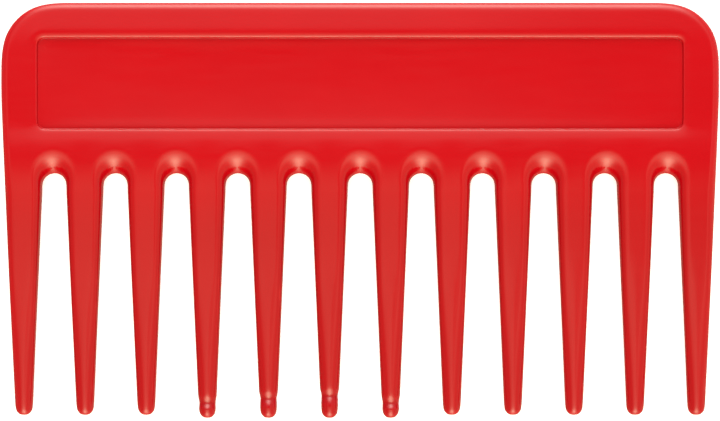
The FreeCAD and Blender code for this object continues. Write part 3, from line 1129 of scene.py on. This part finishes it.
@dataclass(frozen=True)
class SoftLight:
    """The soft studio light: two bright patches, a dim card overhead with a gap for the lens, and dim sides.

    A direction is told in degrees, by its angle along Y from straight above and by its angle across, along X.

    Attributes:
        patch_glow: How bright the two patches are.
        patch_tilt: How far each is from straight above, along Y.
        patch_spread: Their spread along and across.
        patch_start: How far from straight above they start, and reach their full glow.
        card_glow: How bright the card is towards the spine, and towards the tips.
        card_change: Where it turns from the one to the other.
        card_reach: How far it reaches along: where it is gone, and where it still has its full glow.
        card_breadth: The same for how far it reaches across.
        side_glow: How bright the left side and the right side are.
        side_span: Where the left side's glow ends and the right side's is reached.
        gap_glow: How much of the card's glow is left in the gap.
        gap_place: How far along the gap's middle is from straight above.
        gap_edge: How far along from its middle the gap's soft edge starts and ends.
        gap_end: The same for its ends, across.
        gap_widens: Where the gap starts to widen to the right, and where it is at its widest.
        gap_widest: How many times wider it is there.
        spine_tint: The colour of the light from the spine's side.
        tips_tint: The colour of the light from the tips' side.
    """

    patch_glow: float = 6.4
    patch_tilt: float = 62.0
    patch_spread: tuple[float, float] = (25.0, 15.0)
    patch_start: tuple[float, float] = (4.0, 28.0)
    card_glow: tuple[float, float] = (0.42, 0.9)
    card_change: tuple[float, float] = (-4.5, -8.5)
    card_reach: tuple[float, float] = (34.0, 18.0)
    card_breadth: tuple[float, float] = (44.0, 2.0)
    side_glow: tuple[float, float] = (0.3, 0.64)
    side_span: tuple[float, float] = (-15.0, 75.0)
    gap_glow: float = 0.13
    gap_place: float = 1.0
    gap_edge: tuple[float, float] = (0.3, 5.5)
    gap_end: tuple[float, float] = (10.0, 20.0)
    gap_widens: tuple[float, float] = (2.0, 6.0)
    gap_widest: float = 2.4
    spine_tint: tuple[float, float, float, float] = (1.0, 0.98, 0.88, 1.0)
    tips_tint: tuple[float, float, float, float] = (1.0, 0.97, 0.68, 1.0)

    def add(self) -> None:
        """Makes the studio's air glow so."""
        world = bpy.data.worlds.new("studio_light")
        world.use_nodes = True
        tree = world.node_tree
        tree.nodes.clear()

        direction = tree.nodes.new("ShaderNodeTexCoord")
        direction.label = "direction"
        split = tree.nodes.new("ShaderNodeSeparateXYZ")
        split.label = "direction's parts"
        along = tree.nodes.new("ShaderNodeMath")
        along.label = "angle along"
        across = tree.nodes.new("ShaderNodeMath")
        across.label = "angle across"
        away = tree.nodes.new("ShaderNodeMath")
        away.label = "angle along, either way"
        aside = tree.nodes.new("ShaderNodeMath")
        aside.label = "angle across, either way"
        patch_along = tree.nodes.new("ShaderNodeMapRange")
        patch_along.label = "place along the patch"
        patch_across = tree.nodes.new("ShaderNodeMath")
        patch_across.label = "place across the patch"
        square_along = tree.nodes.new("ShaderNodeMath")
        square_along.label = "squared, along"
        square_across = tree.nodes.new("ShaderNodeMath")
        square_across.label = "squared, across"
        distance = tree.nodes.new("ShaderNodeMath")
        distance.label = "distance from the patch's middle"
        falling = tree.nodes.new("ShaderNodeMath")
        falling.label = "negative half"
        bell = tree.nodes.new("ShaderNodeMath")
        bell.label = "soft patch"
        start = tree.nodes.new("ShaderNodeMapRange")
        start.label = "patch's glow, from where it starts"
        patch = tree.nodes.new("ShaderNodeMath")
        patch.label = "glowing patch"
        card_end = tree.nodes.new("ShaderNodeMapRange")
        card_end.label = "card's ends"
        card_shade = tree.nodes.new("ShaderNodeMapRange")
        card_shade.label = "card, brighter towards the tips"
        card_side = tree.nodes.new("ShaderNodeMapRange")
        card_side.label = "card's soft sides"
        card_length = tree.nodes.new("ShaderNodeMath")
        card_length.label = "card along"
        card = tree.nodes.new("ShaderNodeMath")
        card.label = "glowing card"
        sides = tree.nodes.new("ShaderNodeMapRange")
        sides.label = "sides, from left to right"
        dim = tree.nodes.new("ShaderNodeMath")
        dim.label = "card and sides"
        offset = tree.nodes.new("ShaderNodeMath")
        offset.label = "from the gap's middle"
        from_gap = tree.nodes.new("ShaderNodeMath")
        from_gap.label = "from the gap's middle, either way"
        gap_width = tree.nodes.new("ShaderNodeMapRange")
        gap_width.label = "gap widens to the right"
        in_gap = tree.nodes.new("ShaderNodeMath")
        in_gap.label = "share of the gap"
        gap_edge = tree.nodes.new("ShaderNodeMapRange")
        gap_edge.label = "gap's soft edge"
        gap_end = tree.nodes.new("ShaderNodeMapRange")
        gap_end.label = "gap's ends"
        gap = tree.nodes.new("ShaderNodeMath")
        gap.label = "outside the gap"
        lit = tree.nodes.new("ShaderNodeMath")
        lit.label = "card and sides with the gap"
        glow = tree.nodes.new("ShaderNodeMath")
        glow.label = "all the light"
        tips_side = tree.nodes.new("ShaderNodeMapRange")
        tips_side.label = "spine side or tips side"
        tint = tree.nodes.new("ShaderNodeMix")
        tint.label = "warmer from the tips' side"
        light = tree.nodes.new("ShaderNodeBackground")
        light.label = "light"
        backdrop = tree.nodes.new("ShaderNodeBackground")
        backdrop.label = "plain backdrop"
        rays = tree.nodes.new("ShaderNodeLightPath")
        rays.label = "what the camera sees"
        seen = tree.nodes.new("ShaderNodeMixShader")
        seen.label = "backdrop for the camera, light for the comb"
        output = tree.nodes.new("ShaderNodeOutputWorld")
        output.label = "studio light"
        groups = {
            "Angles along and across": (direction, split, along, across, away, aside),
            "Two soft patches": (
                patch_along, patch_across, square_along, square_across, distance, falling, bell, start, patch
            ),
            "Card overhead": (card_end, card_shade, card_side, card_length, card),
            "Dim sides": (sides, dim),
            "Gap for the lens": (offset, from_gap, gap_width, in_gap, gap_edge, gap_end, gap, lit),
            "Glow and tint": (glow, tips_side, tint, light),
            "Plain backdrop": (backdrop, rays, seen, output),
        }
        for row, (label, members) in enumerate(groups.items()):
            group = tree.nodes.new("NodeFrame")
            group.label = label
            for column, node in enumerate(members):
                node.parent = group
                node.location = (220 * column, -300 * row)

        along.operation = "ARCTAN2"
        across.operation = "ARCSINE"
        away.operation = "ABSOLUTE"
        aside.operation = "ABSOLUTE"
        tilt = math.radians(self.patch_tilt)
        patch_along.clamp = False
        patch_along.inputs["From Min"].default_value = tilt
        patch_along.inputs["From Max"].default_value = tilt + math.radians(self.patch_spread[0])
        patch_across.operation = "DIVIDE"
        patch_across.inputs[1].default_value = math.radians(self.patch_spread[1])
        square_along.operation = "MULTIPLY"
        square_across.operation = "MULTIPLY"
        distance.operation = "ADD"
        falling.operation = "MULTIPLY"
        falling.inputs[1].default_value = -0.5
        bell.operation = "EXPONENT"
        start.interpolation_type = "SMOOTHSTEP"
        start.inputs["From Min"].default_value = math.radians(self.patch_start[0])
        start.inputs["From Max"].default_value = math.radians(self.patch_start[1])
        start.inputs["To Max"].default_value = self.patch_glow
        patch.operation = "MULTIPLY"
        card_end.interpolation_type = "SMOOTHSTEP"
        card_end.inputs["From Min"].default_value = math.radians(self.card_reach[0])
        card_end.inputs["From Max"].default_value = math.radians(self.card_reach[1])
        card_shade.inputs["From Min"].default_value = math.radians(self.card_change[0])
        card_shade.inputs["From Max"].default_value = math.radians(self.card_change[1])
        card_shade.inputs["To Min"].default_value = self.card_glow[0]
        card_shade.inputs["To Max"].default_value = self.card_glow[1]
        card_side.interpolation_type = "SMOOTHSTEP"
        card_side.inputs["From Min"].default_value = math.radians(self.card_breadth[0])
        card_side.inputs["From Max"].default_value = math.radians(self.card_breadth[1])
        card_length.operation = "MULTIPLY"
        card.operation = "MULTIPLY"
        sides.inputs["From Min"].default_value = math.radians(self.side_span[0])
        sides.inputs["From Max"].default_value = math.radians(self.side_span[1])
        sides.inputs["To Min"].default_value = self.side_glow[0]
        sides.inputs["To Max"].default_value = self.side_glow[1]
        dim.operation = "ADD"
        offset.operation = "SUBTRACT"
        offset.inputs[1].default_value = math.radians(self.gap_place)
        from_gap.operation = "ABSOLUTE"
        gap_width.inputs["From Min"].default_value = math.radians(self.gap_widens[0])
        gap_width.inputs["From Max"].default_value = math.radians(self.gap_widens[1])
        gap_width.inputs["To Min"].default_value = 1.0
        gap_width.inputs["To Max"].default_value = self.gap_widest
        in_gap.operation = "DIVIDE"
        gap_edge.interpolation_type = "SMOOTHSTEP"
        gap_edge.inputs["From Min"].default_value = math.radians(self.gap_edge[0])
        gap_edge.inputs["From Max"].default_value = math.radians(self.gap_edge[1])
        gap_edge.inputs["To Min"].default_value = self.gap_glow
        gap_end.interpolation_type = "SMOOTHSTEP"
        gap_end.inputs["From Min"].default_value = math.radians(self.gap_end[0])
        gap_end.inputs["From Max"].default_value = math.radians(self.gap_end[1])
        gap.operation = "MAXIMUM"
        lit.operation = "MULTIPLY"
        glow.operation = "ADD"
        tips_side.inputs["From Min"].default_value = math.radians(3.0)
        tips_side.inputs["From Max"].default_value = math.radians(-3.0)
        tint.data_type = "RGBA"
        tint.inputs["A"].default_value = self.spine_tint
        tint.inputs["B"].default_value = self.tips_tint
        backdrop.inputs["Color"].default_value = (1.0, 1.0, 1.0, 1.0)
        backdrop.inputs["Strength"].default_value = 1.0

        tree.links.new(direction.outputs["Generated"], split.inputs["Vector"])
        tree.links.new(split.outputs["Y"], along.inputs[0])
        tree.links.new(split.outputs["Z"], along.inputs[1])
        tree.links.new(split.outputs["X"], across.inputs[0])
        tree.links.new(along.outputs["Value"], away.inputs[0])
        tree.links.new(across.outputs["Value"], aside.inputs[0])
        tree.links.new(away.outputs["Value"], patch_along.inputs["Value"])
        tree.links.new(across.outputs["Value"], patch_across.inputs[0])
        tree.links.new(patch_along.outputs["Result"], square_along.inputs[0])
        tree.links.new(patch_along.outputs["Result"], square_along.inputs[1])
        tree.links.new(patch_across.outputs["Value"], square_across.inputs[0])
        tree.links.new(patch_across.outputs["Value"], square_across.inputs[1])
        tree.links.new(square_along.outputs["Value"], distance.inputs[0])
        tree.links.new(square_across.outputs["Value"], distance.inputs[1])
        tree.links.new(distance.outputs["Value"], falling.inputs[0])
        tree.links.new(falling.outputs["Value"], bell.inputs[0])
        tree.links.new(away.outputs["Value"], start.inputs["Value"])
        tree.links.new(bell.outputs["Value"], patch.inputs[0])
        tree.links.new(start.outputs["Result"], patch.inputs[1])
        tree.links.new(away.outputs["Value"], card_end.inputs["Value"])
        tree.links.new(along.outputs["Value"], card_shade.inputs["Value"])
        tree.links.new(aside.outputs["Value"], card_side.inputs["Value"])
        tree.links.new(card_end.outputs["Result"], card_length.inputs[0])
        tree.links.new(card_shade.outputs["Result"], card_length.inputs[1])
        tree.links.new(card_length.outputs["Value"], card.inputs[0])
        tree.links.new(card_side.outputs["Result"], card.inputs[1])
        tree.links.new(across.outputs["Value"], sides.inputs["Value"])
        tree.links.new(card.outputs["Value"], dim.inputs[0])
        tree.links.new(sides.outputs["Result"], dim.inputs[1])
        tree.links.new(along.outputs["Value"], offset.inputs[0])
        tree.links.new(offset.outputs["Value"], from_gap.inputs[0])
        tree.links.new(across.outputs["Value"], gap_width.inputs["Value"])
        tree.links.new(from_gap.outputs["Value"], in_gap.inputs[0])
        tree.links.new(gap_width.outputs["Result"], in_gap.inputs[1])
        tree.links.new(in_gap.outputs["Value"], gap_edge.inputs["Value"])
        tree.links.new(aside.outputs["Value"], gap_end.inputs["Value"])
        tree.links.new(gap_edge.outputs["Result"], gap.inputs[0])
        tree.links.new(gap_end.outputs["Result"], gap.inputs[1])
        tree.links.new(dim.outputs["Value"], lit.inputs[0])
        tree.links.new(gap.outputs["Value"], lit.inputs[1])
        tree.links.new(patch.outputs["Value"], glow.inputs[0])
        tree.links.new(lit.outputs["Value"], glow.inputs[1])
        tree.links.new(along.outputs["Value"], tips_side.inputs["Value"])
        tree.links.new(tips_side.outputs["Result"], tint.inputs["Factor"])
        tree.links.new(tint.outputs["Result"], light.inputs["Color"])
        tree.links.new(glow.outputs["Value"], light.inputs["Strength"])
        tree.links.new(rays.outputs["Is Camera Ray"], seen.inputs["Fac"])
        tree.links.new(light.outputs["Background"], seen.inputs[1])
        tree.links.new(backdrop.outputs["Background"], seen.inputs[2])
        tree.links.new(seen.outputs["Shader"], output.inputs["Surface"])
        bpy.context.scene.world = world


@dataclass
class Studio:
    """The floor that the comb lies on, the light round it and the camera above it.

    Attributes:
        lens: The camera's focal length in millimetres.
        sensor: Its sensor's width in millimetres.
        view_width: The width of what it sees, at half the comb's thickness.
        view_centre: The point of the comb that it looks straight down on.
        floor_reach: How far the floor reaches on each side.
        floor_drop: How far it lies under the comb.
    """

    lens: float = 150.0
    sensor: float = 36.0
    view_width: float = 120.515 * MM
    view_centre: Point = (-0.025 * MM, 0.033 * MM)
    floor_reach: float = 3.0
    floor_drop: float = 0.05 * MM

    def add_floor(self) -> bpy.types.Object:
        """Adds the plain pale floor, which glows a little, as a light table does.

        Returns:
            The floor.
        """
        data = bpy.data.meshes.new("floor")
        reach = self.floor_reach
        outline = [(-reach, -reach), (reach, -reach), (reach, reach), (-reach, reach)]
        data.from_pydata([(x, y, -self.floor_drop) for x, y in outline], [], [(0, 1, 2, 3)])
        floor = bpy.data.objects.new("floor", data)
        bpy.context.scene.collection.objects.link(floor)
        data.materials.append(PaleFloor().make())
        floor.visible_glossy = False
        floor.visible_shadow = False
        return floor

    def add_camera(self) -> bpy.types.Object:
        """Adds the camera, straight above the comb.

        Returns:
            The camera.
        """
        data = bpy.data.cameras.new("camera")
        data.lens = self.lens
        data.sensor_width = self.sensor
        camera = bpy.data.objects.new("camera", data)
        level = CAD_BOX[1].z / 2
        distance = self.view_width * self.lens / self.sensor
        camera.location = (*self.view_centre, level + distance)
        data.clip_start = 0.01
        data.clip_end = 20.0
        bpy.context.scene.collection.objects.link(camera)
        bpy.context.scene.camera = camera
        return camera

    def build(self) -> None:
        """Sets up the whole studio."""
        self.add_floor()
        self.add_camera()
        SoftLight().add()
        bpy.context.scene.view_settings.view_transform = "Standard"


def main() -> None:
    """Builds the comb, dresses it and sets up the studio."""
    logging.basicConfig(level=logging.INFO, format="%(name)s: %(message)s")
    finish = RedPlastic()
    material = finish.make()
    back = CombBack()
    back.dress(back.build(), material, finish.slot)
    for number in range(1, back.tooth_count + 1):
        tooth = Tooth(number, BEAD_HEIGHTS.get(number, Tooth.bead_height))
        tooth.dress(tooth.build(), material, finish.slot)
    Studio().build()


if __name__ == "__main__":
    main()
